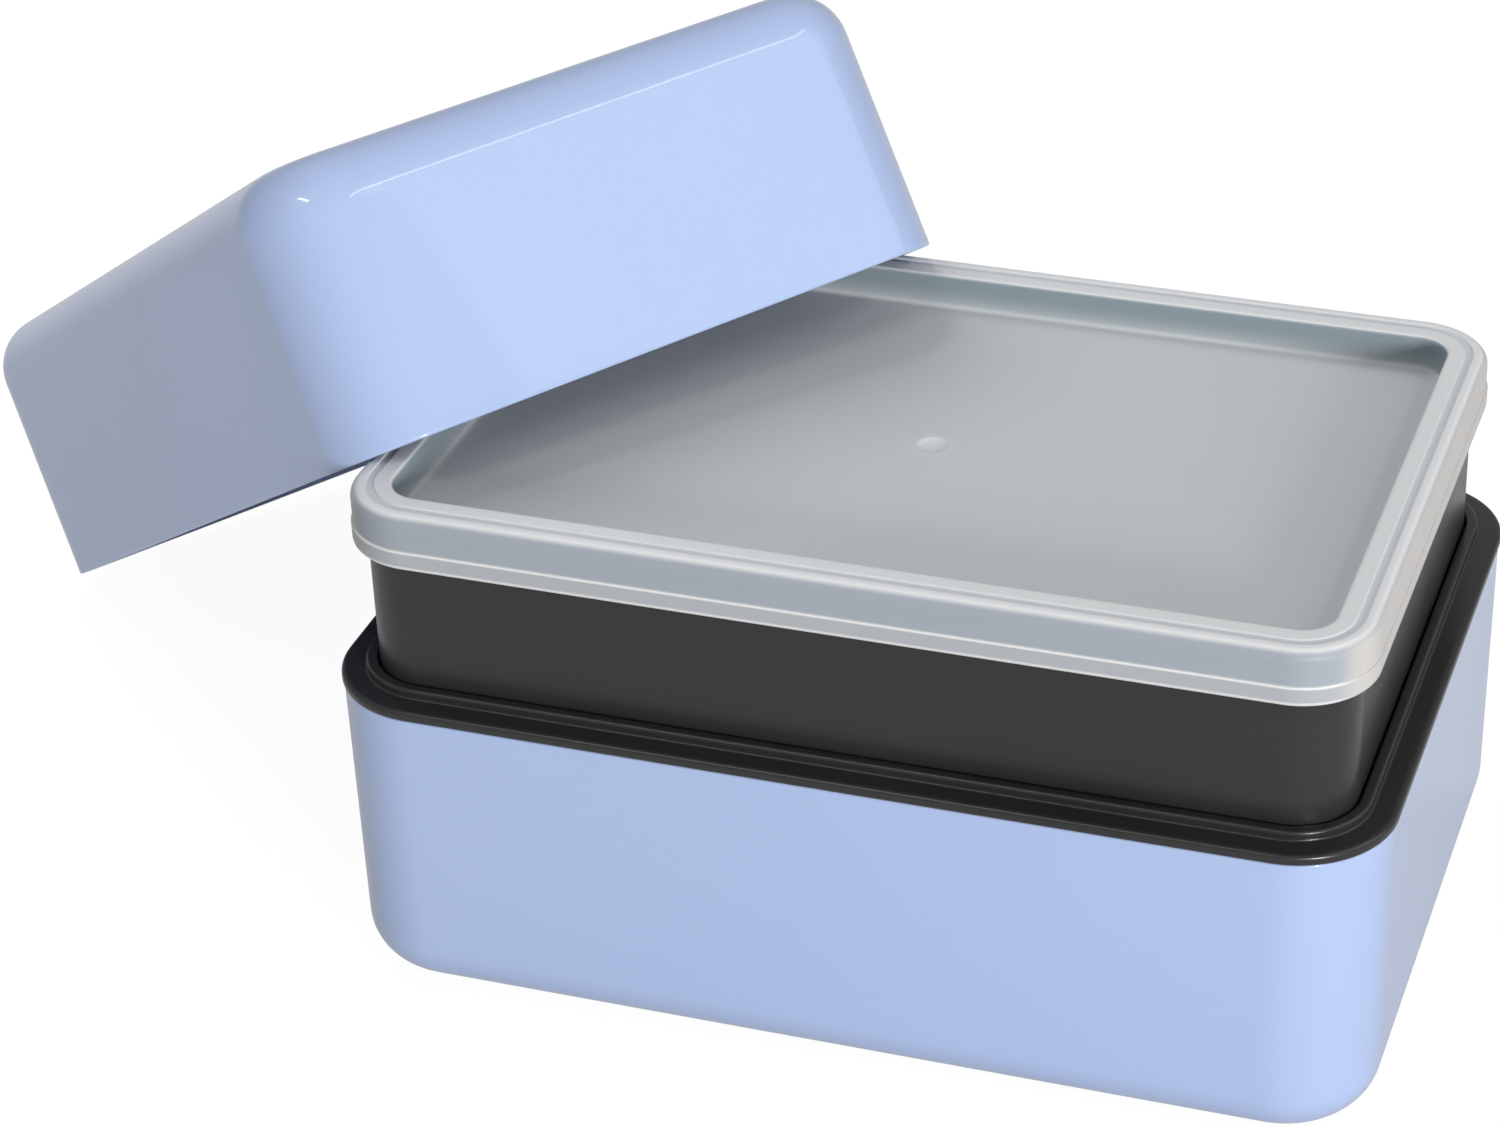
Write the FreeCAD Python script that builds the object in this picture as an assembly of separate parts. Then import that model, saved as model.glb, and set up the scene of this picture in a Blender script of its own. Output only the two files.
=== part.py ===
import FreeCAD, Part
import math
import os

# Two-tier bento lunch box in millimetres, +Z up. The origin is the middle of the lower bowl's flat base.
# The long sides run along X and the front is at -Y. Every upright wall follows one plan, the rounded
# rectangle of the shell's mouth, moved inwards by an inset.

# Lower shell: the glossy outer bowl.
box_length = 160.0
box_width = 108.0
box_corner = 15.0
least_corner = 1.0
shell_height = 50.0
shell_wall = 2.2
shell_floor = 2.2
shell_taper = 0.4
shell_foot_radius = 8.0
shell_edge_radius = 0.4

# Lower liner: the black inner bowl, whose stepped rim covers the shell's mouth.
rim_overhang = 0.3
ledge_thickness = 1.7
ledge_width = 3.8
ledge_edge_radius = 0.6
step_height = 1.5
step_width = 1.8
step_edge_radius = 0.4
liner_fit = 0.2
liner_wall = 1.8
liner_floor = 1.8
liner_taper = 0.8
liner_foot_radius = 7.0
floor_gap = 2.0
seat_depth = 5.5
seat_width = 3.0
seat_thickness = 2.2

# Upper container: the black tray that stands on the liner's seat and drops a little way into it.
container_fit = 0.3
container_wall = 1.8
container_floor = 2.0
container_rise = 27.8
container_foot_radius = 4.0
nest_depth = 8.0
nest_taper = 0.3
lip_reach = 0.5
lip_height = 2.0
lip_drop = 1.6
lip_edge_radius = 0.3

# Seal lid: the translucent lid, with a raised rim, a sunk panel and a skirt outside the container's lip.
lid_fit = 0.3
lid_wall = 1.2
lid_thickness = 1.6
lid_edge_radius = 1.6
skirt_drop = 7.2
band_height = 3.3
band_reach = 0.25
band_edge_radius = 0.9
plug_fit = 0.3
plug_land = 2.1
plug_run = 1.2
recess_depth = 5.2
recess_run = 0.6
recess_edge_radius = 1.0
panel_thickness = 1.4
groove_start = 0.6
groove_width = 1.4
groove_depth = 0.4
gate_radius = 2.5
gate_depth = 0.3

# Outer cover: the deep glossy hood. It is off, and leans over the back left corner of the box.
cover_height = 45.0
cover_wall = 1.8
cover_top = 2.0
cover_taper = 0.5
cover_top_radius = 9.0
cover_turn = 141.1
cover_tilt = -3.0
lean_overlap = 8.3
lean_gap = 0.3
rim_points = 2000
lean_rounds = 12

# Levels and insets that several pieces share.
ledge_level = shell_height + ledge_thickness
step_level = ledge_level + step_height
seat_level = step_level - seat_depth
collar_level = seat_level - seat_thickness
rim_level = step_level + container_rise
lid_level = rim_level + lid_thickness
step_inset = ledge_width - rim_overhang
mouth_inset = step_inset + step_width
seat_inset = mouth_inset + seat_width
body_inset = mouth_inset + container_fit
nest_inset = seat_inset + container_fit
lip_inset = body_inset - lip_reach
skirt_inner_inset = lip_inset - lid_fit
skirt_inset = skirt_inner_inset - lid_wall


def outline(inset, level):
    """Closed wire of the box's plan, moved inwards by the inset, at a level."""
    corner = max(box_corner - inset, least_corner)
    reach_x = box_length / 2 - inset - corner
    reach_y = box_width / 2 - inset - corner
    arcs = []
    for quarter, (side_x, side_y) in enumerate([(1, 1), (-1, 1), (-1, -1), (1, -1)]):
        points = []
        for part in (0, 45, 90):
            angle = math.radians(90 * quarter + part)
            x = side_x * reach_x + corner * math.cos(angle)
            y = side_y * reach_y + corner * math.sin(angle)
            points.append(FreeCAD.Vector(x, y, level))
        arcs.append(points)
    edges = []
    for quarter, points in enumerate(arcs):
        following = arcs[(quarter + 1) % len(arcs)]
        edges.append(Part.Arc(*points).toShape())
        edges.append(Part.LineSegment(points[-1], following[0]).toShape())
    return Part.Wire(edges)


def block(low_inset, low_level, high_inset, high_level):
    """Solid between two outlines of the box's plan."""
    return Part.makeLoft([outline(low_inset, low_level), outline(high_inset, high_level)], True, True)


def wall(inset, low_level, high_level):
    """Solid with upright sides."""
    return block(inset, low_level, inset, high_level)


def rounded(solid, radius, *levels):
    """The solid with its flat ends at these levels rounded at their edges."""
    picked = []
    for edge in solid.Edges:
        box = edge.BoundBox
        if any(abs(box.ZMin - level) < 1e-4 and abs(box.ZMax - level) < 1e-4 for level in levels):
            picked.append(edge)
    return solid.makeFillet(radius, picked)


def make_shell():
    outside = block(shell_taper, 0, 0, shell_height)
    outside = rounded(outside, shell_foot_radius, 0)
    outside = rounded(outside, shell_edge_radius, shell_height)
    hollow = block(shell_taper + shell_wall, shell_floor, shell_wall, shell_height)
    hollow = rounded(hollow, shell_foot_radius - shell_wall, shell_floor)
    return outside.cut(hollow)


def make_liner():
    floor_level = shell_floor + floor_gap
    inner_floor = floor_level + liner_floor
    bowl_inset = seat_inset - liner_wall
    ledge = rounded(wall(-rim_overhang, shell_height, ledge_level), ledge_edge_radius, shell_height, ledge_level)
    step = rounded(wall(step_inset, ledge_level, step_level), step_edge_radius, step_level)
    collar = wall(shell_wall + liner_fit, collar_level, shell_height)
    bowl = block(bowl_inset + liner_taper, floor_level, bowl_inset, collar_level)
    bowl = rounded(bowl, liner_foot_radius, floor_level)
    mouth = wall(mouth_inset, seat_level, step_level)
    hollow = block(seat_inset + liner_taper, inner_floor, seat_inset, seat_level)
    hollow = rounded(hollow, liner_foot_radius - liner_wall, inner_floor)
    return ledge.fuse([step, collar, bowl]).cut(mouth.fuse(hollow)).removeSplitter()


def make_container():
    base_level = seat_level - nest_depth
    inner_floor = base_level + container_floor
    shoulder_level = seat_level + container_wall
    lip_level = rim_level - lip_drop
    body = wall(body_inset, seat_level, rim_level)
    nest = block(nest_inset + nest_taper, base_level, nest_inset, seat_level)
    nest = rounded(nest, container_foot_radius, base_level)
    lip = wall(lip_inset, lip_level - lip_height, lip_level)
    lip = rounded(lip, lip_edge_radius, lip_level - lip_height, lip_level)
    upper_hollow = wall(body_inset + container_wall, shoulder_level, rim_level)
    low_inset = nest_inset + nest_taper + container_wall
    lower_hollow = block(low_inset, inner_floor, nest_inset + container_wall, shoulder_level)
    lower_hollow = rounded(lower_hollow, container_foot_radius - container_wall, inner_floor)
    return body.fuse([nest, lip]).cut(upper_hollow.fuse(lower_hollow)).removeSplitter()


def make_lid():
    skirt_level = rim_level - skirt_drop
    panel_level = lid_level - recess_depth
    panel_low = panel_level - panel_thickness
    plug_inset = body_inset + container_wall + plug_fit
    recess_inset = plug_inset + plug_land
    groove_inset = skirt_inset + lid_edge_radius + groove_start
    crown = rounded(wall(skirt_inset, skirt_level + band_height / 2, lid_level), lid_edge_radius, lid_level)
    band = wall(skirt_inset - band_reach, skirt_level, skirt_level + band_height)
    band = rounded(band, band_edge_radius, skirt_level, skirt_level + band_height)
    recess = block(recess_inset + recess_run, panel_level, recess_inset, lid_level)
    recess = rounded(recess, recess_edge_radius, panel_level)
    plug = block(plug_inset + plug_run, panel_low, plug_inset, rim_level)
    underside = wall(skirt_inner_inset, skirt_level, rim_level).cut(plug)
    groove = wall(groove_inset, lid_level - groove_depth, lid_level)
    groove = groove.cut(wall(groove_inset + groove_width, lid_level - groove_depth, lid_level))
    gate = Part.makeCylinder(gate_radius, gate_depth, FreeCAD.Vector(0, 0, panel_level - gate_depth))
    return crown.fuse(band).cut(recess).cut(underside).cut(groove).cut(gate).removeSplitter()


def rim_contact(turn, place, direction, point, side):
    """Normal and offset of the plane that keeps one side of the cover's rim a lean gap off an edge of the lid."""
    rim = [spot for spot in outline(cover_wall, 0).discretize(rim_points) if spot.y * side > 0]
    gaps = [(turn.multVec(spot) + place - point).cross(direction).Length for spot in rim]
    nearest = min(range(1, len(rim) - 1), key=gaps.__getitem__)
    along = turn.multVec(rim[nearest + 1] - rim[nearest - 1])
    normal = along.cross(direction).normalize()
    if normal.z < 0:
        normal = normal * -1
    return normal, lid_edge_radius + lean_gap + normal.dot(point - turn.multVec(rim[nearest]))


def lean_placement():
    """Where the cover rests: its rim's inner edge on the lid's left and back edges, its low corner at Z = 0."""
    slope = math.degrees(math.asin(lid_level / (box_length - lean_overlap)))
    turn = FreeCAD.Rotation(cover_turn, slope, cover_tilt)
    edge_x = box_length / 2 - skirt_inset - lid_edge_radius
    edge_y = box_width / 2 - skirt_inset - lid_edge_radius
    edge_z = lid_level - lid_edge_radius
    down = turn.inverted().multVec(FreeCAD.Vector(0, 0, -1))
    flat_x = box_length / 2 - box_corner
    flat_y = box_width / 2 - box_corner
    rise = flat_x * abs(down.x) + flat_y * abs(down.y) + box_corner * math.hypot(down.x, down.y)
    up = FreeCAD.Vector(0, 0, 1)
    place = FreeCAD.Vector(-box_length / 2, box_length / 4, rise)  # a rough start, over the lid's back left corner
    for _ in range(lean_rounds):
        left, left_offset = rim_contact(turn, place, FreeCAD.Vector(0, 1, 0), FreeCAD.Vector(-edge_x, 0, edge_z), 1)
        back, back_offset = rim_contact(turn, place, FreeCAD.Vector(1, 0, 0), FreeCAD.Vector(0, edge_y, edge_z), -1)
        total = back.cross(up) * left_offset + up.cross(left) * back_offset + left.cross(back) * rise
        place = total * (1 / left.dot(back.cross(up)))
    return FreeCAD.Placement(place, turn)


def make_cover():
    inside_level = cover_height - cover_top
    outside = rounded(block(0, 0, cover_taper, cover_height), cover_top_radius, cover_height)
    hollow = block(cover_wall, 0, cover_wall + cover_taper, inside_level)
    hollow = rounded(hollow, cover_top_radius - cover_wall, inside_level)
    cover = outside.cut(hollow)
    cover.Placement = lean_placement()
    return cover


nodes = {
    "lower_shell": make_shell(),
    "lower_liner": make_liner(),
    "upper_container": make_container(),
    "seal_lid": make_lid(),
    "outer_cover": make_cover(),
}
os.makedirs("parts", exist_ok=True)
for name, shape in nodes.items():
    shape.exportStep("parts/" + name + ".step")
    box = shape.BoundBox
    size = [round(value, 2) for value in (box.XLength, box.YLength, box.ZLength)]
    print(name, shape.isValid(), len(shape.Solids), "solid", size, round(shape.Volume / 1000, 1), "cm3")
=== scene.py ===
import math

import bmesh
import bpy
from mathutils import Euler, Matrix, Vector


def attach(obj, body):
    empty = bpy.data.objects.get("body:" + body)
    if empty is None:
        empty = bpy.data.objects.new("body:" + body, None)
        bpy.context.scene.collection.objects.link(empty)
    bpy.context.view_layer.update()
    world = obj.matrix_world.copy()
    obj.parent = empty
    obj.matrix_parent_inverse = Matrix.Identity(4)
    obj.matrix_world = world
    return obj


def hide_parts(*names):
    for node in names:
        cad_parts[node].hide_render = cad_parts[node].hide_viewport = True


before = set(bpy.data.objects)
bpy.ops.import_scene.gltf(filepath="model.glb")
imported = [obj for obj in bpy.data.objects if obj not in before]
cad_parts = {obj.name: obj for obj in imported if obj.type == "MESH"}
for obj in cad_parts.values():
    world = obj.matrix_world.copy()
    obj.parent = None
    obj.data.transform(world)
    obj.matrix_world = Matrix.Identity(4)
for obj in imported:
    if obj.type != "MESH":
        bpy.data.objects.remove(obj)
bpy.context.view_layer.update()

# Lower shell: the glossy outer bowl of the lower tier, injection moulded in pale blue plastic.
# Its section runs from the flat base round the foot, up the outside, over the mouth and down to the floor.
# Every piece of the box is such a section swept along one plan, a rectangle with round corners.
MM = 0.001
PLAN_LENGTH, PLAN_WIDTH, PLAN_CORNER = 160.0, 108.0, 15.0
CORNER_STEPS = 28  # stretches in each corner of the plan
ARC_ANGLE, LEAST_STEPS = 7.0, 4  # degrees in a stretch of a rounded edge, and the fewest stretches
SMALL_RADIUS = 1.0  # edges up to this radius have the fewest stretches
SUPPORT, SUPPORT_SHARE = 0.6, 0.4  # a point this far past an arc keeps the side flat, or at this share of it
SHARP_ANGLE = math.radians(32)
SHELL_TOP, SHELL_FLOOR = 50.0, 2.2
SHELL_WALL, SHELL_TAPER, SHELL_FOOT = 2.2, 0.4, 8.0
SHELL_FLAT = 11.0  # inset where the flat base and the flat floor are filled in


class Socket:
    """An output of a node. Sums, differences and products of them are maths nodes."""

    def __init__(self, tree, socket=None):
        self.tree, self.socket = tree, socket

    def add(self, kind, inputs, output=0, **settings):
        """One output of a new node in the same tree."""
        node = self.tree.nodes.new(kind)
        for key, value in settings.items():
            setattr(node, key, value)
        for key, value in inputs.items():
            if isinstance(value, Socket):
                self.tree.links.new(value.socket, node.inputs[key])
            else:
                node.inputs[key].default_value = value
        return Socket(self.tree, node.outputs[output]) if node.outputs else None

    def maths(self, operation, other=0.0):
        return self.add("ShaderNodeMath", {0: self, 1: other}, operation=operation)

    def __add__(self, other):
        return self.maths("ADD", other)

    def __sub__(self, other):
        return self.maths("SUBTRACT", other)

    def __rsub__(self, other):
        return self.add("ShaderNodeMath", {0: other, 1: self}, operation="SUBTRACT")

    def __mul__(self, other):
        return self.maths("MULTIPLY", other)

    __radd__ = __add__
    __rmul__ = __mul__

    def ramp(self, zero, one):
        """A smooth rise from 0 at the first value to 1 at the second."""
        ends = {"Value": self, "From Min": zero, "From Max": one}
        return self.add("ShaderNodeMapRange", ends, interpolation_type="SMOOTHSTEP")

    def mix(self, low, high):
        """Colour between two colours, with this value as the share of the second."""
        return self.add("ShaderNodeMix", {0: self, 6: low, 7: high}, 2, data_type="RGBA")

    def noise(self, scale, detail):
        return self.add("ShaderNodeTexNoise", {"Vector": self, "Scale": scale, "Detail": detail})

    def bump(self, strength, distance):
        return self.add("ShaderNodeBump", {"Height": self, "Strength": strength, "Distance": distance})


def begin_material(name):
    """A new material, and its place on the object as the first value to work with."""
    material = bpy.data.materials.new(name)
    material.use_nodes = True
    tree = material.node_tree
    tree.nodes.clear()
    return material, Socket(tree).add("ShaderNodeTexCoord", {}, "Object")


def end_material(material, surface):
    surface.add("ShaderNodeOutputMaterial", {"Surface": surface})
    return material


def plan_points():
    """Points once round the plan, with one past each end of a corner to keep the sides flat."""
    points = []
    reach_x, reach_y = PLAN_LENGTH / 2 - PLAN_CORNER, PLAN_WIDTH / 2 - PLAN_CORNER
    for quarter, (side_x, side_y) in enumerate([(1, 1), (-1, 1), (-1, -1), (1, -1)]):
        for step in range(-1, CORNER_STEPS + 2):
            angle = math.radians(90 * (quarter + min(max(step, 0), CORNER_STEPS) / CORNER_STEPS))
            past = SUPPORT * (min(step, 0) + max(step - CORNER_STEPS, 0))
            x = side_x * reach_x + PLAN_CORNER * math.cos(angle) - past * math.sin(angle)
            y = side_y * reach_y + PLAN_CORNER * math.sin(angle) + past * math.cos(angle)
            points.append((x * MM, y * MM, 0.0))
    return points


def round_section(corners):
    """Points of a section of (inset, level, radius) corners in millimetres, each rounded to its radius."""
    spots = [Vector(corner[:2]) for corner in corners]
    halves = [(a - b).angle(c - b) / 2 for a, b, c in zip(spots, spots[1:], spots[2:])]
    tangents = [0.0] + [corner[2] / math.tan(half) for corner, half in zip(corners[1:], halves)] + [0.0]
    rooms = [(b - a).length - s - t for a, b, s, t in zip(spots, spots[1:], tangents, tangents[1:])]
    points = [spots[0]]
    for index, half in enumerate(halves, 1):
        spot, radius, tangent = spots[index], corners[index][2], tangents[index]
        back, ahead = (spots[index - 1] - spot).normalized(), (spots[index + 1] - spot).normalized()
        centre = spot + (back + ahead).normalized() * (radius / math.sin(half))
        start, end = spot + back * tangent, spot + ahead * tangent
        turn = math.pi - 2 * half
        steps = LEAST_STEPS
        if radius > SMALL_RADIUS:
            steps = max(LEAST_STEPS, round(math.degrees(turn) / ARC_ANGLE))
        near = min(SUPPORT, radius)
        points.append(start + back * min(near, SUPPORT_SHARE * rooms[index - 1]))
        first, last = start - centre, end - centre
        for step in range(steps + 1):
            share = step / steps
            arm = first * math.sin((1 - share) * turn) + last * math.sin(share * turn)
            points.append(centre + arm / math.sin(turn))
        points.append(end + ahead * min(near, SUPPORT_SHARE * rooms[index]))
    return points + [spots[-1]]


def line_object(name, points, closed):
    """A mesh of one line of edges."""
    mesh = bpy.data.meshes.new(name)
    count = len(points)
    edges = [(index, (index + 1) % count) for index in range(count if closed else count - 1)]
    mesh.from_pydata(points, edges, [])
    piece = bpy.data.objects.new(name, mesh)
    bpy.context.scene.collection.objects.link(piece)
    return piece


def make_sweep_tree():
    """Nodes that sweep the section object along the object's own line of edges."""
    tree = bpy.data.node_groups.new("sweep", "GeometryNodeTree")
    for name, side, kind in [
        ("Plan", "INPUT", "NodeSocketGeometry"), ("Section", "INPUT", "NodeSocketObject"),
        ("Material", "INPUT", "NodeSocketMaterial"), ("Swept", "OUTPUT", "NodeSocketGeometry"),
    ]:
        tree.interface.new_socket(name, in_out=side, socket_type=kind)
    nodes = Socket(tree)
    plan = nodes.add("NodeGroupInput", {}, "Plan")
    section = nodes.add("NodeGroupInput", {}, "Section")
    material = nodes.add("NodeGroupInput", {}, "Material")
    path = nodes.add("GeometryNodeMeshToCurve", {"Mesh": plan})
    path = nodes.add("GeometryNodeSetCurveNormal", {"Curve": path}, mode="Z_UP")
    profile = nodes.add("GeometryNodeObjectInfo", {"Object": section}, "Geometry")
    profile = nodes.add("GeometryNodeMeshToCurve", {"Mesh": profile})
    swept = nodes.add("GeometryNodeCurveToMesh", {"Curve": path, "Profile Curve": profile})
    swept = nodes.add("GeometryNodeRealizeInstances", {"Geometry": swept})
    swept = nodes.add("GeometryNodeSetMaterial", {"Geometry": swept, "Material": material})
    nodes.add("NodeGroupOutput", {"Swept": swept})
    return tree


sweep_tree = make_sweep_tree()


def sweep(name, corners, material, place=Matrix.Identity(4)):
    """A closed piece: the section swept along the plan, its two flat ends filled."""
    outline = [(-point.x * MM, -point.y * MM, 0.0) for point in round_section(corners)]
    section = line_object(name + "_section", outline, False)
    piece = line_object(name, plan_points(), True)
    modifier = piece.modifiers.new("sweep", "NODES")
    modifier.node_group = sweep_tree
    entries = {item.name: item.identifier for item in sweep_tree.interface.items_tree}
    modifier[entries["Section"]] = section
    modifier[entries["Material"]] = material
    bpy.context.view_layer.update()
    shown = bpy.context.evaluated_depsgraph_get()
    mesh = bpy.data.meshes.new_from_object(piece.evaluated_get(shown), depsgraph=shown)
    piece.modifiers.remove(modifier)
    bpy.data.objects.remove(section)
    solid = bmesh.new()
    solid.from_mesh(mesh)
    bmesh.ops.holes_fill(solid, edges=[edge for edge in solid.edges if edge.is_boundary])
    bmesh.ops.recalc_face_normals(solid, faces=solid.faces)
    for face in solid.faces:
        face.smooth = True
    for edge in solid.edges:
        edge.smooth = edge.calc_face_angle(0.0) < SHARP_ANGLE
    bmesh.ops.transform(solid, matrix=place, verts=solid.verts)
    solid.to_mesh(mesh)
    solid.free()
    piece.data = mesh
    return piece


blue, spot = begin_material("blue_gloss")
blue = end_material(blue, spot.add("ShaderNodeBsdfPrincipled", {
    "Base Color": spot.noise(14.0, 2.0).mix((0.385, 0.487, 0.740, 1), (0.405, 0.507, 0.765, 1)),
    "Roughness": spot.noise(70.0, 4.0) * 0.12 + 0.26,
    "Normal": spot.noise(420.0, 1.0).bump(0.015, 0.0003),
    "IOR": 1.49,
    "Specular IOR Level": 0.3,
    "Coat Weight": 0.8,
    "Coat Roughness": 0.03,
}))

shell = sweep("lower_shell_bowl", [
    (SHELL_FLAT, 0),
    (SHELL_TAPER, 0, SHELL_FOOT),
    (0, SHELL_TOP, 0.4),
    (SHELL_WALL, SHELL_TOP, 0.3),
    (SHELL_WALL + SHELL_TAPER, SHELL_FLOOR, SHELL_FOOT - SHELL_WALL),
    (SHELL_FLAT, SHELL_FLOOR),
], blue)
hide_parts("lower_shell")
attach(shell, "lower_bowl")

# Lower liner: the black inner bowl, moulded in satin plastic and fixed in the shell for good.
# Its stepped rim covers the shell's mouth, and the seat inside the mouth carries the upper container.
STEP_LEVEL, LEDGE_LEVEL, SEAT_LEVEL, COLLAR_LEVEL = 53.2, 51.7, 47.7, 45.5
LINER_FLOOR, LINER_BASE = 6.0, 4.2
LEDGE_INSET, COLLAR_INSET, STEP_INSET, MOUTH_INSET, SEAT_INSET = -0.3, 2.4, 3.5, 5.3, 8.3
LINER_WALL, LINER_TAPER, LINER_FOOT, LINER_FLAT = 1.8, 0.8, 7.0, 14.6

black, spot = begin_material("black_satin")
black = end_material(black, spot.add("ShaderNodeBsdfPrincipled", {
    "Base Color": spot.noise(30.0, 3.0).mix((0.016, 0.016, 0.017, 1), (0.024, 0.024, 0.025, 1)),
    "Roughness": spot.noise(90.0, 4.0) * 0.10 + 0.24,
    "Normal": spot.noise(2600.0, 2.0).bump(0.06, 0.0001),
    "IOR": 1.5,
}))

liner = sweep("lower_liner_bowl", [
    (LINER_FLAT, LINER_FLOOR),
    (SEAT_INSET + LINER_TAPER, LINER_FLOOR, LINER_FOOT - LINER_WALL),
    (SEAT_INSET, SEAT_LEVEL, 0.3),
    (MOUTH_INSET, SEAT_LEVEL, 0.4),
    (MOUTH_INSET, STEP_LEVEL, 0.4),
    (STEP_INSET, STEP_LEVEL, 0.4),
    (STEP_INSET, LEDGE_LEVEL, 0.25),
    (LEDGE_INSET, LEDGE_LEVEL, 0.6),
    (LEDGE_INSET, SHELL_TOP, 0.5),
    (COLLAR_INSET, SHELL_TOP, 0.1),
    (COLLAR_INSET, COLLAR_LEVEL, 0.2),
    (SEAT_INSET - LINER_WALL, COLLAR_LEVEL, 0.2),
    (SEAT_INSET - LINER_WALL + LINER_TAPER, LINER_BASE, LINER_FOOT),
    (LINER_FLAT, LINER_BASE),
], black)
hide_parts("lower_liner")
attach(liner, "lower_bowl")

# Upper container: the black tray of the upper tier, moulded in the liner's satin plastic.
# It stands on the liner's seat with its foot in the lower bowl, and a lip outside its mouth holds the lid.
RIM_LEVEL, LIP_TOP, LIP_BOTTOM = 81.0, 79.4, 77.4
SHOULDER_LEVEL, TRAY_FLOOR, TRAY_BASE = 49.5, 41.7, 39.7
LIP_INSET, BODY_INSET, NEST_INSET = 5.1, 5.6, 8.6
TRAY_WALL, NEST_TAPER, TRAY_FLAT = 1.8, 0.3, 13.4

container = sweep("upper_container_tray", [
    (TRAY_FLAT, TRAY_FLOOR),
    (NEST_INSET + TRAY_WALL + NEST_TAPER, TRAY_FLOOR, 2.2),
    (NEST_INSET + TRAY_WALL, SHOULDER_LEVEL, 0.3),
    (BODY_INSET + TRAY_WALL, SHOULDER_LEVEL, 0.5),
    (BODY_INSET + TRAY_WALL, RIM_LEVEL, 0.5),
    (BODY_INSET, RIM_LEVEL, 0.5),
    (BODY_INSET, LIP_TOP, 0.2),
    (LIP_INSET, LIP_TOP, 0.2),
    (LIP_INSET, LIP_BOTTOM, 0.2),
    (BODY_INSET, LIP_BOTTOM, 0.2),
    (BODY_INSET, SEAT_LEVEL, 0.3),
    (NEST_INSET, SEAT_LEVEL, 0.3),
    (NEST_INSET + NEST_TAPER, TRAY_BASE, 3.9),
    (TRAY_FLAT, TRAY_BASE),
], black)
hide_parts("upper_container")
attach(container, "upper_container")

# Seal lid: the soft milky lid of the upper tier, moulded in frosted translucent plastic.
# It has a raised rim with a groove, a sunk panel with the mark of the gate in its middle, and a skirt that
# ends in a thicker band.
LID_TOP, GROOVE_LEVEL, PANEL_LEVEL, PANEL_LOW = 82.6, 82.4, 77.4, 76.0
BAND_TOP, SKIRT_LEVEL = 77.1, 73.8
BAND_INSET, SKIRT_INSET, SKIRT_INNER, PLUG_INSET = 3.35, 3.6, 4.8, 7.7
GROOVE_OUTER, GROOVE_INNER, GROOVE_RUN = 5.8, 7.2, 0.2
RECESS_INSET, RECESS_RUN, PLUG_RUN, LID_FLAT = 9.8, 0.6, 1.2, 14.0
GATE_RINGS = [(2.5, 0.0), (2.2, 0.06), (1.9, 0.22), (1.6, 0.28)]  # radius and depth of each ring
GATE_STEPS = 40

milky, spot = begin_material("milky_lid")
x, y, z = (spot.add("ShaderNodeSeparateXYZ", {0: spot}, axis) * (1 / MM) for axis in "XYZ")
off_x, off_y = x.maths("ABSOLUTE"), y.maths("ABSOLUTE")
past_x = (off_x - (PLAN_LENGTH / 2 - PLAN_CORNER)).maths("MAXIMUM")
past_y = (off_y - (PLAN_WIDTH / 2 - PLAN_CORNER)).maths("MAXIMUM")
inset = PLAN_CORNER - (past_x * past_x + past_y * past_y).maths("SQRT")
outside, low_outside = inset.ramp(4.6, 3.8), inset.ramp(4.9, 4.6)
from_middle = (x * x + y * y).maths("SQRT")
tone = spot.noise(26.0, 3.0).mix((0.610, 0.637, 0.648, 1), (0.660, 0.684, 0.694, 1))
for mask, colour in [
    (inset.ramp(10.8, 10.0) * z.ramp(PANEL_LEVEL, PANEL_LEVEL + 0.5), (0.240, 0.292, 0.325, 1)),  # wall
    (inset.ramp(9.9, 9.6) * z.ramp(LID_TOP - 0.9, LID_TOP - 0.3), (0.79, 0.81, 0.82, 1)),  # inner rim
    (inset.ramp(7.3, 7.1) * z.ramp(LID_TOP - 0.9, LID_TOP - 0.5), (0.68, 0.71, 0.735, 1)),  # groove
    (inset.ramp(5.9, 5.7) * z.ramp(LID_TOP - 0.9, LID_TOP - 0.5), (0.82, 0.83, 0.84, 1)),  # outer rim
    (outside, (0.37, 0.41, 0.46, 1)),  # skirt
    (low_outside * z.ramp(BAND_TOP + 0.15, BAND_TOP), (0.84, 0.84, 0.83, 1)),  # painted highlight along the top edge of the band
    (low_outside * z.ramp(BAND_TOP - 0.15, BAND_TOP - 0.45), (0.45, 0.47, 0.50, 1)),  # band
    (low_outside * z.ramp(SKIRT_LEVEL + 1.0, SKIRT_LEVEL + 0.7), (0.84, 0.84, 0.83, 1)),  # painted highlight along its bottom edge, lightening the rounding that faces down into shade
    (outside * off_x.ramp(71.5, 75.5), (0.62, 0.60, 0.585, 1)),  # painted light: the skirt's short sides are painted lighter, as if lit from the side
    (from_middle.ramp(4.0, 0.5), (0.75, 0.76, 0.77, 1)),  # mark of the gate
]:
    tone = mask.mix(tone, colour)
milky = end_material(milky, spot.add("ShaderNodeBsdfPrincipled", {
    "Base Color": tone,
    "Roughness": spot.noise(120.0, 4.0) * 0.10 + 0.46,
    "Normal": spot.noise(1500.0, 2.0).bump(0.05, 0.0001),
    "IOR": 1.48,
    "Transmission Weight": 0.12,
}))


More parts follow.
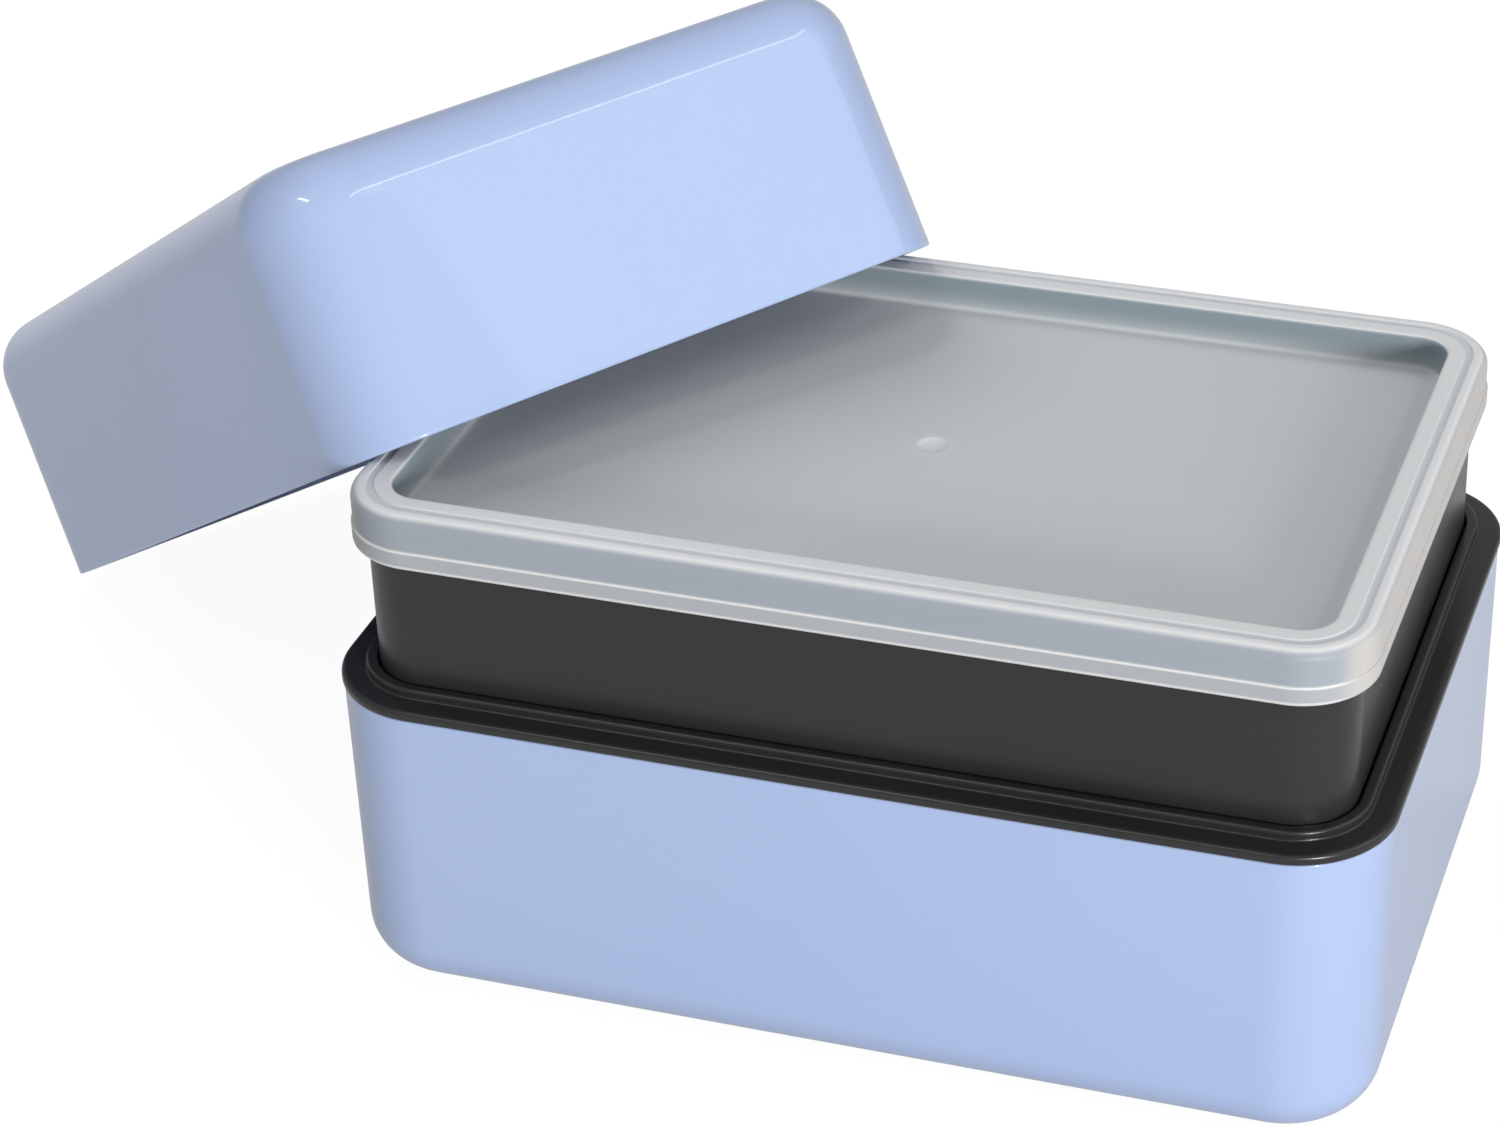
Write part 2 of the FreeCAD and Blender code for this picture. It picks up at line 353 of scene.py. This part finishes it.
def press_gate(piece):
    """The mark of the gate, a shallow round dimple: the panel's flat face becomes a ring around it."""
    dished = bmesh.new()
    dished.from_mesh(piece.data)
    panel = max(dished.faces, key=lambda face: face.normal.z * face.calc_area())
    border = list(panel.edges)
    dished.faces.remove(panel)
    turns = [2 * math.pi * step / GATE_STEPS for step in range(GATE_STEPS)]
    rings = []
    for radius, depth in GATE_RINGS:
        level = PANEL_LEVEL - depth
        spots = [Vector((radius * math.cos(turn), radius * math.sin(turn), level)) for turn in turns]
        rings.append([dished.verts.new(spot * MM) for spot in spots])
    mouth = [dished.edges.new(pair) for pair in zip(rings[0], rings[0][1:] + rings[0][:1])]
    bmesh.ops.bridge_loops(dished, edges=border + mouth)
    for outer, inner in zip(rings, rings[1:]):
        for step in range(GATE_STEPS):
            after = (step + 1) % GATE_STEPS
            dished.faces.new((outer[step], outer[after], inner[after], inner[step]))
    dished.faces.new(rings[-1])
    bmesh.ops.recalc_face_normals(dished, faces=dished.faces)
    for face in dished.faces:
        face.smooth = True
    for edge in mouth:
        edge.smooth = False
    dished.to_mesh(piece.data)
    dished.free()


lid = sweep("seal_lid_sheet", [
    (LID_FLAT, PANEL_LEVEL),
    (RECESS_INSET + RECESS_RUN, PANEL_LEVEL, 1),
    (RECESS_INSET, LID_TOP, 0.5),
    (GROOVE_INNER, LID_TOP, 0.15),
    (GROOVE_INNER - GROOVE_RUN, GROOVE_LEVEL, 0.15),
    (GROOVE_OUTER + GROOVE_RUN, GROOVE_LEVEL, 0.15),
    (GROOVE_OUTER, LID_TOP, 0.15),
    (SKIRT_INSET, LID_TOP, 1.6),
    (SKIRT_INSET, BAND_TOP + 0.1, 0.1),
    (BAND_INSET, BAND_TOP, 0.08),
    (BAND_INSET, SKIRT_LEVEL, 0.9),
    (SKIRT_INNER, SKIRT_LEVEL, 0.2),
    (SKIRT_INNER, RIM_LEVEL, 0.3),
    (PLUG_INSET, RIM_LEVEL, 0.2),
    (PLUG_INSET + PLUG_RUN, PANEL_LOW, 0.3),
    (LID_FLAT, PANEL_LOW),
], milky)
press_gate(lid)
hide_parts("seal_lid")
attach(lid, "seal_lid")

# Outer cover: the deep hood of the box, moulded in the shell's glossy blue plastic.
# It is off, and leans over the back left corner with its rim on the lid's edges and one corner on the table.
# Its place and turn are those that the part's source works out.
COVER_HEIGHT, COVER_INSIDE, COVER_WALL = 45.0, 43.0, 1.8
COVER_TAPER, COVER_TOP_RADIUS, COVER_FLAT = 0.5, 9.0, 14.0
COVER_TURN = Euler((math.radians(-3.0), math.radians(32.9902), math.radians(141.1)))
COVER_PLACE = Vector((-93.0270, 42.2600, 45.2982)) * MM

cover = sweep("outer_cover_hood", [
    (COVER_FLAT, COVER_HEIGHT),
    (COVER_TAPER, COVER_HEIGHT, COVER_TOP_RADIUS),
    (0, 0, 0.4),
    (COVER_WALL, 0, 0.4),
    (COVER_WALL + COVER_TAPER, COVER_INSIDE, COVER_TOP_RADIUS - COVER_WALL),
    (COVER_FLAT, COVER_INSIDE),
], blue, Matrix.Translation(COVER_PLACE) @ COVER_TURN.to_matrix().to_4x4())
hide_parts("outer_cover")
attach(cover, "outer_cover")

# Stage: a white table in a white studio, with five area lamps and the camera.
# The camera sees table and studio as white, reflections show them dimmer, and the table keeps a faint shadow.
# The camera's place and lens are those that fit the edges of the box.
RAYS = ("Is Camera Ray", "Is Glossy Ray", "Is Transmission Ray")
TABLE_REACH = 6.0
STUDIO_LIGHT = 0.33  # the studio's own light on the object

white, spot = begin_material("white_table")
seen, glossed, passed = (spot.add("ShaderNodeLightPath", {}, ray) for ray in RAYS)
share = seen * 0.8 + glossed * 0.28 + passed * 0.8
paint = spot.add("ShaderNodeBsdfDiffuse", {
    "Color": spot.noise(3.0, 2.0).mix((0.47, 0.47, 0.47, 1), (0.49, 0.49, 0.49, 1)),
})
glow = spot.add("ShaderNodeEmission", {"Color": (1, 1, 1, 1), "Strength": 1.18})
white = end_material(white, share.add("ShaderNodeMixShader", {0: share, 1: paint, 2: glow}))
table_corners = [(a * TABLE_REACH, b * TABLE_REACH, 0) for a, b in [(-1, -1), (1, -1), (1, 1), (-1, 1)]]
table_mesh = bpy.data.meshes.new("white_table")
table_mesh.from_pydata(table_corners, [], [(0, 1, 2, 3)])
table_mesh.materials.append(white)
table = bpy.data.objects.new("white_table", table_mesh)
bpy.context.scene.collection.objects.link(table)

world = bpy.data.worlds.new("white_studio")
bpy.context.scene.world = world
world.use_nodes = True
world.node_tree.nodes.clear()
sky = Socket(world.node_tree)
seen, glossed, passed = (sky.add("ShaderNodeLightPath", {}, ray) for ray in RAYS)
level = STUDIO_LIGHT + (1 - STUDIO_LIGHT) * (seen + passed) + 0.08 * glossed
air = sky.add("ShaderNodeBackground", {"Color": (1, 1, 1, 1), "Strength": level})
air.add("ShaderNodeOutputWorld", {"Surface": air})

for name, place, degrees, width, height, watts in [
    ("lamp_right", (1.3, 0.25, 1.0), (-10.8, 90, 0), 1.2, 1.1, 4.2),
    ("lamp_strip", (1.25, 0.1, 1.58), (0, 45, 0), 0.08, 1.3, 2.2),
    ("lamp_front", (0.95, -1.15, 0.30), (81, 0, 39.6), 0.22, 0.22, 18.0),
    ("lamp_back", (-0.65, 0.52, 0.98), (40, 0, 231.3), 0.5, 0.5, 5.0),
    ("lamp_above", (-0.35, -0.70, 1.10), (36, 0, -26.6), 0.35, 0.06, 1.6),
]:
    lamp = bpy.data.lights.new(name, "AREA")
    lamp.shape = "RECTANGLE"
    lamp.size, lamp.size_y = width, height
    lamp.energy = watts
    holder = bpy.data.objects.new(name, lamp)
    holder.location = place
    holder.rotation_euler = [math.radians(angle) for angle in degrees]
    holder.visible_glossy = name != "lamp_back"  # the photo's gloss shows no lamp there
    bpy.context.scene.collection.objects.link(holder)

camera = bpy.data.cameras.new("camera")
camera.sensor_width = 36.0
camera.lens = 96.912
camera.shift_x = -0.10708
camera.shift_y = 0.04590
camera.clip_start = 0.01
camera.clip_end = 50.0
viewer = bpy.data.objects.new("camera", camera)
viewer.location = (0.15862, -0.50458, 0.37478)
viewer.rotation_euler = [math.radians(angle) for angle in (58.0036, 0.8619, 17.3264)]
bpy.context.scene.collection.objects.link(viewer)
bpy.context.scene.camera = viewer
bpy.context.scene.view_settings.view_transform = "Standard"
